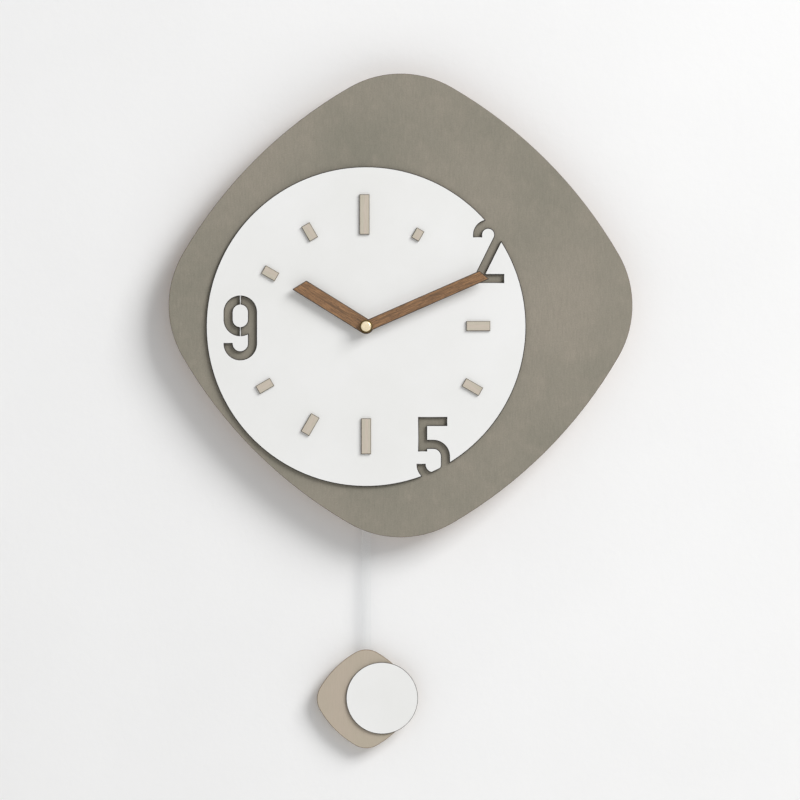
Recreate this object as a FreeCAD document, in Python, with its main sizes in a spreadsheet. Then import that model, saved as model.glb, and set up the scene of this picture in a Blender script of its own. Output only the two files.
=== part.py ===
import FreeCAD, Part
import math
import os

# Pendulum wall clock. +X right, +Z up, the front faces -Y and the wall is the plane Y = 0.
# The origin is the hands' axis on the wall. "Depth" is the distance from the wall, so Y = -depth.

V = FreeCAD.Vector

# driving sizes: name, millimetres (or degrees, or a count), what it is
SIZES = [
    ("panel_half", 200.0, "back panel, centre to corner"),
    ("panel_bow", 10.4, "back panel, how far a side's middle stands out of a straight side"),
    ("panel_corner", 88.0, "back panel, radius of its rounded corners"),
    ("panel_thick", 9.0, "back panel thickness"),
    ("panel_u", 29.7, "back panel centre, right of the hands' axis"),
    ("panel_v", 18.3, "back panel centre, above the hands' axis"),
    ("dial_radius", 138.0, "dial disc"),
    ("dial_thick", 3.0, "dial board"),
    ("stroke", 6.6, "width of the strokes cut as numerals"),
    ("stroke_bend", 10.5, "centreline radius of the bends in the 9 and the 5"),
    ("bridge", 1.7, "bridges that hold the inside of the 9"),
    ("marker_high", 2.2, "hour sticks stand this high"),
    ("marker_bevel", 0.5, "bevel of the hour sticks"),
    ("hour_width", 12.9, "hour hand"),
    ("hour_long", 71.0, "hour hand, longer side"),
    ("hour_short", 64.6, "hour hand, shorter side"),
    ("minute_width", 9.8, "minute hand"),
    ("minute_long", 113.6, "minute hand, longer side"),
    ("minute_short", 108.6, "minute hand, shorter side"),
    ("hand_thick", 2.5, "both hands"),
    ("hour_turn", 148.1, "hour hand at rest, degrees from +X towards +Z"),
    ("minute_turn", 23.6, "minute hand at rest, degrees from +X towards +Z"),
    ("case_half", 36.0, "movement case, half width"),
    ("case_top", 30.0, "movement case top, above the hands' axis"),
    ("case_wall", 1.5, "movement case wall"),
    ("case_round", 3.0, "movement case corners"),
    ("gasket_thick", 0.8, "rubber gasket between case and panel"),
    ("gap", 0.05, "fit of a still piece in its seat, radial"),
    ("run_gap", 0.08, "running fit, radial"),
    ("bush_radius", 3.5, "threaded bushing"),
    ("tube_radius", 2.5, "hour wheel's tube"),
    ("arbor_radius", 1.75, "minute arbor"),
    ("arbor_tip", 1.4, "minute arbor's threaded end"),
    ("nut_flat", 5.0, "dial nut, centre to flat"),
    ("nut_thick", 2.3, "dial nut"),
    ("washer_thick", 0.5, "dial washer"),
    ("washer_radius", 5.9, "dial washer"),
    ("cap_flange", 5.6, "hand nut's flange radius"),
    ("cap_radius", 4.2, "hand nut's top radius"),
    ("cap_high", 3.4, "hand nut's whole height"),
    ("flange_thick", 0.9, "hand nut's flange"),
    ("wheel_thick", 1.0, "train wheels"),
    ("centre_module", 0.34, "centre wheel and third pinion"),
    ("third_module", 0.26, "third wheel and seconds pinion"),
    ("motion_module", 0.5, "cannon pinion and minute wheel"),
    ("hour_module", 0.48, "minute pinion and hour wheel"),
    ("stem_radius", 1.2, "setting stem"),
    ("knob_radius", 4.6, "setting knob"),
    ("train_arbor", 0.8, "third and seconds arbors"),
    ("pivot", 0.5, "pivots of the train"),
    ("pivot_back", 1.8, "depth where the train's pivots begin"),
    ("pivot_front", 12.0, "depth where the train's pivots end"),
    ("shoulder_back", 3.4, "depth of the train arbors' back shoulder"),
    ("shoulder_front", 10.8, "depth of the train arbors' front shoulder"),
    ("second_layer", 3.8, "seconds wheel's back face, depth"),
    ("third_layer", 6.0, "third wheel's back face, depth"),
    ("centre_layer", 8.8, "centre wheel's back face, depth"),
    ("motion_layer", 11.2, "minute wheel's back face, depth"),
    ("hour_layer", 12.9, "hour wheel's back face, depth"),
    ("rotor_radius", 2.0, "motor's rotor magnet"),
    ("motor_v", 24.0, "motor coil's axis, below the hands' axis"),
    ("stator_back", 9.0, "stator plate's back face, depth"),
    ("stator_thick", 0.8, "stator plate"),
    ("core_thick", 1.0, "motor coil's iron core"),
    ("board_back", 12.0, "circuit boards' back face, depth"),
    ("cell_radius", 7.1, "AA cell"),
    ("cell_long", 49.2, "AA cell without its nub"),
    ("cell_v", 40.2, "AA cell axis, below the hands' axis"),
    ("board_thick", 1.0, "circuit boards"),
    ("screw_radius", 1.0, "case screws"),
    ("swing_pin", 1.0, "pendulum's pivot pin radius"),
    ("lever_thick", 2.0, "swing lever"),
    ("lever_half", 3.5, "swing lever, half width"),
    ("peg_drop", 39.0, "pendulum peg, below the pivot"),
    ("magnet_drop", 21.0, "drive magnet and coil, below the pivot"),
    ("magnet_radius", 4.0, "drive magnet"),
    ("magnet_thick", 3.0, "drive magnet"),
    ("coil_post", 3.0, "post that carries the drive coil, radius"),
    ("slot_half", 8.6, "slot in the case's foot that the lever swings in, half width"),
    ("peg_radius", 1.5, "pendulum peg"),
    ("rod_half", 4.0, "pendulum rod, half width"),
    ("rod_thick", 3.0, "pendulum rod"),
    ("rod_back", 5.0, "pendulum rod's back face, depth"),
    ("rod_hole", 2.4, "hole in the rod's top"),
    ("bob_v", 321.8, "bob centre, below the hands' axis"),
    ("bob_half", 42.6, "bob plate, centre to corner"),
    ("bob_thick", 4.0, "bob plate"),
    ("bob_disc", 31.0, "bob disc radius"),
    ("bob_disc_u", 13.7, "bob disc centre, right of the rod"),
    ("bob_disc_up", 0.7, "bob disc centre, above the bob's centre"),
    ("bob_disc_thick", 2.0, "bob disc"),
    ("hanger_u", 22.0, "hanger, right of the hands' axis"),
    ("hanger_v", 150.0, "hanger's entry hole, above the hands' axis"),
    ("hanger_thick", 1.5, "hanger plate"),
    ("keyhole", 4.5, "hanger's entry hole radius"),
    ("key_slot", 2.3, "hanger's slot, half width"),
]

# places worked out from the sizes: name, formula, what it is
PLACES = [
    ("case_depth", "= 2 * cell_radius + 1.3 + case_wall", "movement case, wall to front"),
    ("case_front", "= case_depth - case_wall", "inner face of the case's front wall"),
    ("panel_back", "= case_depth + gasket_thick", "panel's back face"),
    ("panel_front", "= panel_back + panel_thick", "panel's front face, the dial's back"),
    ("dial_front", "= panel_front + dial_thick", "dial's front face"),
    ("nut_back", "= dial_front + washer_thick", "dial nut's back face"),
    ("bush_end", "= nut_back + nut_thick + 0.8", "bushing's front end"),
    ("hour_back", "= bush_end + 1", "hour hand's back face"),
    ("tube_end", "= hour_back + hand_thick + 0.2", "hour tube's front end"),
    ("minute_back", "= tube_end + 0.8", "minute hand's back face"),
    ("cap_back", "= minute_back + hand_thick", "hand nut's back face"),
    ("arbor_end", "= cap_back + cap_high - 0.6", "minute arbor's front end"),
    ("motion_reach", "= 24 * motion_module", "motion wheel's distance from the hands' axis"),
    ("third_reach", "= 34 * centre_module", "third wheel's distance from the hands' axis"),
    ("second_reach", "= 36 * third_module", "seconds wheel's distance from the third wheel"),
    ("bob_back", "= rod_back + rod_thick", "bob plate's back face"),
    ("bob_front", "= bob_back + bob_thick", "bob plate's front face"),
    ("lever_back", "= rod_back - lever_thick - 0.4", "swing lever's back face"),
    ("magnet_back", "= lever_back + lever_thick", "drive magnet's back face"),
    ("coil_back", "= magnet_back + magnet_thick + 1", "drive coil's back face"),
    ("hanger_back", "= panel_back - hanger_thick", "hanger plate's back face"),
    ("bay_top", "= cell_v - cell_radius - 0.9", "cell bay's upper wall, below the axis"),
    ("bay_foot", "= cell_v + cell_radius + 0.9", "cell bay's lower wall, below the axis"),
    ("swing_v", "= bay_foot + lever_half + 3.3", "pendulum's pivot, below the axis"),
    ("magnet_v", "= swing_v + magnet_drop", "drive magnet and coil, below the axis"),
    ("peg_v", "= swing_v + peg_drop", "pendulum peg, below the axis"),
    ("case_foot", "= peg_v - 6", "movement case's foot, below the axis"),
    ("bay_end", "= cell_long / 2 + 5.4", "cell bay's end walls, either side"),
]

# hour sticks: hour, distance from the axis to the middle, how far the glue-up left it off its
# hour's line (anticlockwise), length along that line, width
MARKERS = [
    (12, 96.7, 1.4, 34.6, 8.6),
    (1, 91.0, 1.1, 9.8, 7.4),
    (3, 96.7, 0.5, 20.6, 8.4),
    (4, 105.4, 0.7, 16.8, 8.0),
    (6, 94.5, 0.0, 30.8, 8.4),
    (7, 97.3, 0.5, 18.0, 8.2),
    (8, 101.2, 0.7, 14.2, 7.8),
    (10, 94.6, 1.6, 13.4, 8.2),
    (11, 95.0, 1.4, 14.6, 8.2),
]

doc = FreeCAD.newDocument("PendulumClock")
sheet = doc.addObject("Spreadsheet::Sheet", "Sizes")
parts = []


def fill_sheet():
    """Write the driving sizes as numbers and the places as formulas, each with its alias."""
    rows = [(alias, str(number), note) for alias, number, note in SIZES]
    for row, (alias, text, note) in enumerate(rows + PLACES, start=1):
        sheet.set(f"A{row}", alias)
        sheet.set(f"B{row}", text)
        sheet.setAlias(f"B{row}", alias)
        sheet.set(f"C{row}", note)
    doc.recompute()


fill_sheet()
size = {entry[0]: float(sheet.get(entry[0])) for entry in SIZES + PLACES}


def formula(text):
    """An expression in which each word is the sheet's cell of that name."""
    words = str(text).split()
    return " ".join("Sizes." + word if word.isidentifier() else word for word in words)


def to_clock(u=0.0, v=0.0, depth=0.0, turn=0.0):
    """Placement of a piece drawn as (right, up, depth), turned about its own depth axis."""
    facing = FreeCAD.Rotation(V(1, 0, 0), 90)
    return FreeCAD.Placement(V(u, -depth, v), facing * FreeCAD.Rotation(V(0, 0, 1), turn))


def keep(obj, label, placement=None):
    """Name a finished sub-part and place it in the clock."""
    obj.Label = label
    if placement is not None:
        obj.Placement = placement
    parts.append(obj)
    return obj


# ---- building blocks, drawn as (right, up, depth) ----


def block(u, v, w):
    """A box between three pairs of formulas."""
    box = doc.addObject("Part::Box", "Block")
    sides = zip(("Length", "Width", "Height"), "xyz", (u, v, w))
    for side, axis, (low, high) in sides:
        box.setExpression(side, formula(f"( {high} ) - ( {low} )"))
        box.setExpression(f"Placement.Base.{axis}", formula(low))
    return box


def post(radius, w, u=0, v=0):
    """A cylinder along the depth, between two depths."""
    low, high = w
    cylinder = doc.addObject("Part::Cylinder", "Post")
    cylinder.setExpression("Radius", formula(radius))
    cylinder.setExpression("Height", formula(f"( {high} ) - ( {low} )"))
    for axis, text in zip("xyz", (u, v, low)):
        cylinder.setExpression(f"Placement.Base.{axis}", formula(text))
    return cylinder


def bar(radius, u, v, w):
    """A cylinder along +X between two formulas, at height v and depth w."""
    low, high = u
    cylinder = doc.addObject("Part::Cylinder", "Bar")
    cylinder.setExpression("Radius", formula(radius))
    cylinder.setExpression("Height", formula(f"( {high} ) - ( {low} )"))
    cylinder.Placement.Rotation = FreeCAD.Rotation(V(0, 1, 0), 90)
    for axis, text in zip("xyz", (low, v, w)):
        cylinder.setExpression(f"Placement.Base.{axis}", formula(text))
    return cylinder


def fuse(*pieces):
    if len(pieces) == 1:
        return pieces[0]
    joined = doc.addObject("Part::MultiFuse", "Joined")
    joined.Shapes = list(pieces)
    joined.Refine = True
    return joined


def cut(base, *tools):
    left = doc.addObject("Part::Cut", "Cut")
    left.Base = base
    left.Tool = fuse(*tools)
    left.Refine = True
    return left


def rounded(box, radius, chamfer=False, top_only=False):
    """Round a box's four edges along the depth, or bevel the edges of its front face."""
    doc.recompute()
    front = box.Shape.BoundBox.ZMax
    chosen = []
    for number, edge in enumerate(box.Shape.Edges, start=1):
        ends = [vertex.Point.z for vertex in edge.Vertexes]
        wanted = min(ends) > front - 1e-6 if top_only else abs(ends[0] - ends[1]) > 1e-6
        if wanted:
            chosen.append((number, radius, radius))
    kind = "Part::Chamfer" if chamfer else "Part::Fillet"
    softened = doc.addObject(kind, "Softened")
    softened.Base = box
    softened.Edges = chosen
    return softened


def sheet_cut(label, loops, back, thick, placement=None):
    """A flat piece: a body with one sketch of its outline and holes, padded from its back face."""
    body = doc.addObject("PartDesign::Body", label)
    sketch = draw(body, loops)
    pad = body.newObject("PartDesign::Pad", "Thickness")
    pad.Profile = sketch
    pad.setExpression("Length", formula(thick))
    if placement is not None:
        body.Placement = placement
    body.setExpression("Placement.Base.y", formula(f"- ( {back} )"))
    keep(body, label)
    return body


def draw(body, loops):
    """A sketch on the body's front-facing origin plane, whose normal is the depth."""
    plane = next(f for f in body.Origin.OriginFeatures if f.Role == "XZ_Plane")
    sketch = body.newObject("Sketcher::SketchObject", "Outline")
    sketch.AttachmentSupport = [(plane, "")]
    sketch.MapMode = "FlatFace"
    for loop in loops:
        sketch.addGeometry(loop, False)
    return sketch


# ---- outlines ----


def circle(radius, u=0.0, v=0.0):
    return [Part.Circle(V(u, v, 0), V(0, 0, 1), radius)]


def arc(u, v, radius, start, end):
    """An arc between two angles in degrees, anticlockwise."""
    whole = Part.Circle(V(u, v, 0), V(0, 0, 1), radius)
    return Part.ArcOfCircle(whole, math.radians(start), math.radians(end))


def polygon(points):
    corners = [V(u, v, 0) for u, v in points]
    return [Part.LineSegment(a, b) for a, b in zip(corners, corners[1:] + corners[:1])]


def rectangle(u, v):
    (left, right), (low, high) = u, v
    return polygon([(left, low), (right, low), (right, high), (left, high)])


def rounded_square(half, bow, corner, u=0.0, v=0.0):
    """A square standing on one corner, with round corners and bowed sides that meet smoothly.

    The bow is how far the middle of a side stands out beyond the straight line that would
    join its two corners. The side's radius follows from it, from the half diagonal and from
    the corner radius, because each side arc touches its two corner arcs.
    """
    reach = half - corner
    flat = reach / math.sqrt(2) + corner + bow
    above = reach**2 + flat**2 - math.sqrt(2) * reach * flat - corner**2
    side = above / (2 * flat - 2 * corner - math.sqrt(2) * reach)
    back_off = (side - flat) / math.sqrt(2)
    spread = math.degrees(math.atan2(back_off, reach + back_off))
    loop = []
    for quarter in range(4):
        turn = 90.0 * quarter
        a = math.radians(turn)
        loop.append(
            arc(u + reach * math.cos(a), v + reach * math.sin(a), corner, turn - spread, turn + spread)
        )
        b = math.radians(turn + 45)
        middle_u = u - (side - flat) * math.cos(b)
        middle_v = v - (side - flat) * math.sin(b)
        loop.append(arc(middle_u, middle_v, side, turn + spread, turn + 90 - spread))
    return loop


def hand_outline(width, left_side, right_side, turn):
    """A straight hand with a round hub and a slanted tip, pointing at the angle turn."""
    half = width / 2
    a = math.radians(turn)

    def at(along, across):
        return V(
            along * math.cos(a) - across * math.sin(a), along * math.sin(a) + across * math.cos(a), 0
        )

    left, right = at(0, half), at(0, -half)
    left_tip, right_tip = at(left_side, half), at(right_side, -half)
    return [
        arc(0, 0, half, turn + 90, turn + 270),
        Part.LineSegment(right, right_tip),
        Part.LineSegment(right_tip, left_tip),
        Part.LineSegment(left_tip, left),
    ]


def tooth_points(teeth, module, phase):
    """A toothed outline with stubby teeth, as angles and radii of one tooth repeated."""
    radius = module * teeth / 2
    root_share = 0.20 if teeth < 15 else 0.27
    profile = [(-1.1, -root_share), (0, -0.215), (0.7, -0.11), (0.7, 0.11), (0, 0.215), (-1.1, root_share)]
    points = []
    for tooth in range(teeth):
        for rise, share in profile:
            a = phase + (tooth + share) * 2 * math.pi / teeth
            r = radius + rise * module
            points.append(V(r * math.cos(a), r * math.sin(a), 0))
    return points


def toothed(teeth, module, w, phase=0.0):
    """A toothed disc between two depths."""
    points = tooth_points(teeth, module, phase)
    face = Part.Face(Part.makePolygon(points + points[:1]))
    face.translate(V(0, 0, w[0]))
    return face.extrude(V(0, 0, w[1] - w[0]))


def shaft(radius, w):
    return Part.makeCylinder(radius, w[1] - w[0], V(0, 0, w[0]))


def turned(label, solids, holes=(), u=0.0, v=0.0):
    """A wheel or other turned piece, joined from solids about its own axis."""
    shape = solids[0].multiFuse(solids[1:]) if len(solids) > 1 else solids[0]
    for hole in holes:
        shape = shape.cut(hole)
    piece = doc.addObject("Part::Feature", label)
    piece.Shape = shape.removeSplitter()
    return keep(piece, label, to_clock(u, v))


# ---- what is seen from the front ----


def build_panel():
    """The back panel: hole for the bushing and a blind recess behind the hanger."""
    centre = (size["panel_u"], size["panel_v"])
    outline = rounded_square(size["panel_half"], size["panel_bow"], size["panel_corner"], *centre)
    hole = circle(size["bush_radius"] + size["gap"])
    body = sheet_cut("back_panel", [outline, hole], "panel_back", "panel_thick")
    doc.recompute()
    recess = draw(body, [])
    left, right = size["hanger_u"] - 7, size["hanger_u"] + 7
    recess.addGeometry(rectangle((left, right), (size["hanger_v"] - 7, size["hanger_v"] + 14)), False)
    pocket = body.newObject("PartDesign::Pocket", "HangerRecess")
    pocket.Profile = recess
    pocket.Reversed = True
    pocket.Length = 6.0
    for side in (-1, 1):
        drill(body, size["hanger_u"] + side * 16, size["hanger_v"] + 3, 1.5 + size["gap"], 7.0)


def drill(body, u, v, radius, length):
    """A blind hole from the piece's back face."""
    sketch = draw(body, [circle(radius, u, v)])
    pocket = body.newObject("PartDesign::Pocket", "Pilot")
    pocket.Profile = sketch
    pocket.Reversed = True
    pocket.Length = length


def bend(u, v, start, sweep, radius="stroke_bend"):
    """A bent stroke: part of a ring about (u, v), from one angle through a sweep."""
    through = ("panel_front - 1", "dial_front + 1")
    ring = []
    for side in ("+", "-"):
        disc = post(f"{radius} {side} stroke / 2", through, u, v)
        disc.Angle = sweep
        disc.Placement.Rotation = FreeCAD.Rotation(V(0, 0, 1), start)
        ring.append(disc)
    return cut(*ring)


def line(u, v):
    """A straight stroke right through the dial."""
    return block(u, v, ("panel_front - 1", "dial_front + 1"))


def nine():
    """Two bends joined by upright strokes, with a round tail; bridges hold the inside."""
    u, top, bowl, tail = -108.5, 12.4, 6.1, -14.7
    right = (f"{u} + stroke_bend - stroke / 2", f"{u} + stroke_bend + stroke / 2")
    left = (f"{u} - stroke_bend - stroke / 2", f"{u} - stroke_bend + stroke / 2")
    strokes = fuse(
        bend(u, top, 0, 180),
        bend(u, bowl, 180, 180),
        bend(u, tail, 180, 180),
        line(right, (tail, top)),
        line(left, (bowl, top)),
    )
    middle = (f"{u} - bridge / 2", f"{u} + bridge / 2")
    bridges = fuse(line(middle, (top, top + 20)), line(middle, (bowl - 16, bowl)))
    return cut(strokes, bridges)


def five():
    u, upper, lower = 57.9, -112.05, -118.9
    outer = f"{u} + stroke_bend + stroke / 2"
    return fuse(
        line((45.4, 69.4), ("- 78.5 - stroke", -78.5)),
        line((45.4, "45.4 + stroke"), (-107.1, -78.5)),
        line((51.0, u), (f"{upper} + stroke_bend - stroke / 2", f"{upper} + stroke_bend + stroke / 2")),
        bend(u, upper, 0, 90),
        line((f"{u} + stroke_bend - stroke / 2", outer), (lower, upper)),
        bend(u, lower, 180, 180),
    )


def two():
    """A hook, a slanted stroke and a foot. The slant leaves the hook's end square to it."""
    u, v, radius, lean = 105.2, 79.2, 9.1, 26.4
    foot = 38.1
    end = math.radians(-lean)
    start_u = u + radius * math.cos(end)
    start_v = v + radius * math.sin(end)
    drop = (start_v - foot - size["stroke"] / 2) / math.cos(math.radians(lean))
    slant = block(("- stroke / 2", "stroke / 2"), (-drop, 0), ("panel_front - 1", "dial_front + 1"))
    tilted = doc.addObject("Part::Compound", "Slant")
    tilted.Links = [slant]
    tilted.Placement = FreeCAD.Placement(V(start_u, start_v, 0), FreeCAD.Rotation(V(0, 0, 1), -lean))
    hook = doc.addObject("Part::Cylinder", "HookRing")
    return fuse(
        hook_ring(hook, u, v, radius, lean),
        line((f"{u} - {radius} - stroke / 2", f"{u} - {radius} + stroke / 2"), (v - 1.7, v)),
        tilted,
        line((91.6, 118.5), (foot, f"{foot} + stroke")),
    )


def hook_ring(disc, u, v, radius, lean):
    """The top of the 2: a ring from its right-hand slant round to its left end."""
    inner = post(f"{radius} - stroke / 2", ("panel_front - 1", "dial_front + 1"), u, v)
    disc.setExpression("Radius", formula(f"{radius} + stroke / 2"))
    disc.setExpression("Height", formula("dial_front - panel_front + 2"))
    disc.Angle = 180 + lean
    disc.Placement = FreeCAD.Placement(V(u, v, 0), FreeCAD.Rotation(V(0, 0, 1), -lean))
    disc.setExpression("Placement.Base.z", formula("panel_front - 1"))
    return cut(disc, inner)


def build_dial():
    disc = post("dial_radius", ("panel_front", "dial_front"))
    hole = post("bush_radius + gap", ("panel_front - 1", "dial_front + 1"))
    keep(cut(disc, hole, nine(), five(), two()), "dial", to_clock())


def build_markers():
    """Hour sticks glued to the dial, each in line with the hands' axis at its hour."""
    for hour, reach, aside, length, width in MARKERS:
        stick = doc.addObject("Part::Box", "Stick")
        stick.Length = length
        stick.Width = width
        stick.setExpression("Height", formula("marker_high"))
        stick.Placement.Base = V(-length / 2, -width / 2, 0)
        bevelled = rounded(stick, size["marker_bevel"], chamfer=True, top_only=True)
        angle = 90 - 30 * hour
        a = math.radians(angle)
        u = reach * math.cos(a) - aside * math.sin(a)
        v = reach * math.sin(a) + aside * math.cos(a)
        place = to_clock(u, v, size["dial_front"], angle)
        keep(bevelled, f"marker_{hour}", place)


def build_hands():
    hole = circle(size["tube_radius"] - 0.2 + size["gap"])
    outline = hand_outline(
        size["hour_width"], size["hour_long"], size["hour_short"], size["hour_turn"]
    )
    sheet_cut("hour_hand", [outline, hole], "hour_back", "hand_thick")
    hole = circle(size["arbor_tip"] + size["gap"])
    outline = hand_outline(
        size["minute_width"], size["minute_short"], size["minute_long"], size["minute_turn"]
    )
    sheet_cut("minute_hand", [outline, hole], "minute_back", "hand_thick")
    flange = post("cap_flange", ("cap_back", "cap_back + flange_thick"))
    middle = post("( cap_flange + cap_radius ) / 2", ("cap_back", "cap_back + 1.6 * flange_thick"))
    top = rounded_top(post("cap_radius", ("cap_back", "cap_back + cap_high")), 0.5)
    bore = post("arbor_tip + gap", ("cap_back - 1", "arbor_end + 0.1"))
    keep(cut(fuse(flange, middle, top), bore), "hand_nut", to_clock())


def rounded_top(cylinder, radius):
    """Round the front rim of a cylinder."""
    doc.recompute()
    front = cylinder.Shape.BoundBox.ZMax
    rims = enumerate(cylinder.Shape.Edges, start=1)
    number = next(n for n, e in rims if e.BoundBox.ZMin > front - 1e-3)
    softened = doc.addObject("Part::Fillet", "Softened")
    softened.Base = cylinder
    softened.Edges = [(number, radius, radius)]
    return softened


# ---- movement case ----

SCREWS = [(31.0, 25.5), (-31.0, 25.5), (31.0, "5 - case_foot"), (-31.0, "5 - case_foot")]
STATOR_POSTS = [(16.0, "- motor_v"), (-16.0, "- motor_v")]
CLOCK_POSTS = [(27.0, -8.0), (27.0, 14.0)]
DRIVE_POSTS = [(24.0, "- swing_v - 6"), (24.0, "- swing_v - 20")]


def train_places():
    """Where the motion, third and seconds wheels and the rotor turn, seen from the front."""
    motion = (
        size["motion_reach"] * math.cos(math.radians(30)),
        size["motion_reach"] * math.sin(math.radians(30)),
    )
    third = (
        size["third_reach"] * math.cos(math.radians(150)),
        size["third_reach"] * math.sin(math.radians(150)),
    )
    second = (
        third[0] + size["second_reach"] * math.cos(math.radians(250)),
        third[1] + size["second_reach"] * math.sin(math.radians(250)),
    )
    return motion, third, second, (-24.0, -14.6)


def build_case_front():
    """A tray open to the wall: cell bay, pendulum slot, posts and bearings."""
    motion, third, second, rotor = train_places()
    outer = block(("- case_half", "case_half"), ("- case_foot", "case_top"), ("case_wall", "case_depth"))
    shell = rounded(outer, size["case_round"])
    inner = block(
        ("case_wall - case_half", "case_half - case_wall"),
        ("case_wall - case_foot", "case_top - case_wall"),
        (0, "case_front"),
    )
    tray = cut(shell, inner)
    across = ("case_wall - case_half", "case_half - case_wall")
    ribs = [
        block(across, ("- bay_top", "1.2 - bay_top"), ("case_wall", "case_front")),
        block(across, ("- bay_foot - 1.2", "- bay_foot"), ("case_wall", "case_front")),
        block(("bay_end", "bay_end + 1.2"), ("- bay_foot", "- bay_top"), ("case_wall", "case_front")),
        block(("- bay_end - 1.2", "- bay_end"), ("- bay_foot", "- bay_top"), ("case_wall", "case_front")),
    ]
    posts = [post(3.0, (3.2, "case_front"), u, v) for u, v in SCREWS]
    stator_front = ("stator_back + stator_thick", "case_front")
    posts += [post(1.8, stator_front, u, v) for u, v in STATOR_POSTS]
    board_front = ("board_back + board_thick", "case_front")
    posts += [post(1.6, board_front, u, v) for u, v in CLOCK_POSTS + DRIVE_POSTS]
    bearing_post = ("shoulder_front + 0.2", "case_front")
    posts += [post(1.3, bearing_post, u, v) for u, v in (third, second, rotor)]
    posts += [
        post(2.6, ("coil_back - 0.4", "case_front"), 0, "- swing_v"),
        post("coil_post", ("coil_back + 0.4", "case_front"), 0, "- magnet_v"),
    ]
    sockets = ("shoulder_front", "pivot_front + 0.4")
    bearings = [post("pivot + gap", sockets, u, v) for u, v in (third, second, rotor)]
    bearings.append(post("0.6 + gap", (14.8, 16.5), *motion))
    pilots = [post("screw_radius + gap", (3.0, 12.0), u, v) for u, v in SCREWS]
    holes = [
        post("bush_radius + gap", ("case_front - 1", "case_depth + 1")),
        post("swing_pin + gap", ("coil_back - 1", "coil_back + 4"), 0, "- swing_v"),
        block(("- slot_half", "slot_half"), ("- case_foot - 1", "2 * case_wall - case_foot"), (0, 10.2)),
    ]
    body = fuse(tray, *ribs, *posts)
    keep(cut(body, *bearings, *pilots, *holes), "case_front", to_clock())


def build_case_back():
    """The flat back lid, with the cell's opening, the knob's well and screw cups."""
    motion, third, second, rotor = train_places()
    plate = rounded(
        block(("- case_half", "case_half"), ("- case_foot", "case_top"), (0, "case_wall")),
        size["case_round"],
    )
    cups = [post(3.0, (0, 3.1), u, v) for u, v in SCREWS]
    cups += [post(1.6, (0, 3.2), u, v) for u, v in (third, second, rotor)]
    cups += [
        post(2.6, (0, 3.0)),
        post("knob_radius + 2", (0, 4.6), *motion),
        post(2.4, (0, "lever_back - 0.3"), 0, "- swing_v"),
    ]
    sinks = [post("2 * screw_radius + 0.2", (-1, 1.5), u, v) for u, v in SCREWS]
    sinks += [post("screw_radius + gap", (-1, 4), u, v) for u, v in SCREWS]
    sinks += [post("pivot + gap", (1.5, 4), u, v) for u, v in (third, second, rotor)]
    sinks += [
        post("1 + gap", (1.5, 4)),
        post("knob_radius + 0.6", (-1, 3.2), *motion),
        post("stem_radius + run_gap", (2, 5), *motion),
        post("swing_pin + gap", (1.2, 4), 0, "- swing_v"),
        block(("0.3 - bay_end", "bay_end - 0.3"), ("0.3 - bay_foot", "- bay_top - 0.3"), (-1, 4)),
    ]
    keep(cut(fuse(plate, *cups), *sinks), "case_back", to_clock())


def build_case_screws():
    shanks = []
    for u, v in SCREWS:
        head = post("2 * screw_radius - 0.1", (0.2, 1.5), u, v)
        drive = block((u - 0.3, u + 0.3), (f"{v} - 1.4", f"{v} + 1.4"), (-1, 0.7))
        shanks.append(fuse(cut(head, drive), post("screw_radius", (1.5, 11.0), u, v)))
    keep(compound(shanks), "case_screws", to_clock())


def compound(pieces):
    """A set of pieces that takes a placement of its own and leaves theirs as they are."""
    group = doc.addObject("Part::Compound", "Set")
    group.Links = pieces
    return group


def build_fixing():
    """Bushing, gasket, washer and nut that clamp the movement to panel and dial."""
    sleeve = post("bush_radius", ("case_front - 0.5", "bush_end"))
    flange = post(6.0, ("case_front - 1.1", "case_front"))
    bore = post("tube_radius + run_gap", ("case_front - 2", "bush_end + 1"))
    keep(cut(fuse(sleeve, flange), bore), "bushing", to_clock())
    pad = rounded(block((-22, 22), (-22, 22), ("case_depth", "panel_back")), 4.0)
    hole = post("bush_radius + gap", ("case_depth - 1", "panel_back + 1"))
    keep(cut(pad, hole), "rubber_gasket", to_clock())
    disc = post("washer_radius", ("dial_front", "nut_back"))
    hole = post("bush_radius + gap", ("dial_front - 1", "nut_back + 1"))
    keep(cut(disc, hole), "dial_washer", to_clock())
    corner = size["nut_flat"] / math.cos(math.radians(30))
    hexagon = polygon(
        [
            (corner * math.cos(math.radians(60 * k)), corner * math.sin(math.radians(60 * k)))
            for k in range(6)
        ]
    )
    loops = [hexagon, circle(size["bush_radius"] + size["gap"])]
    sheet_cut("dial_nut", loops, "nut_back", "nut_thick")


# ---- wheels ----


def phase_of(follower_teeth, leader_teeth, leader_phase, direction):
    """Turn of a wheel that meshes with its leader, which lies opposite to direction."""
    ahead = math.radians(direction)
    lag = (ahead - leader_phase) * leader_teeth
    return ahead + math.pi - (math.pi - lag) / follower_teeth


def layer(name, behind=0.0, ahead=None):
    """Depths of a wheel in its named layer, reaching a little behind and ahead of it."""
    reach = behind if ahead is None else ahead
    return (size[name] - behind, size[name] + size["wheel_thick"] + reach)


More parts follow.
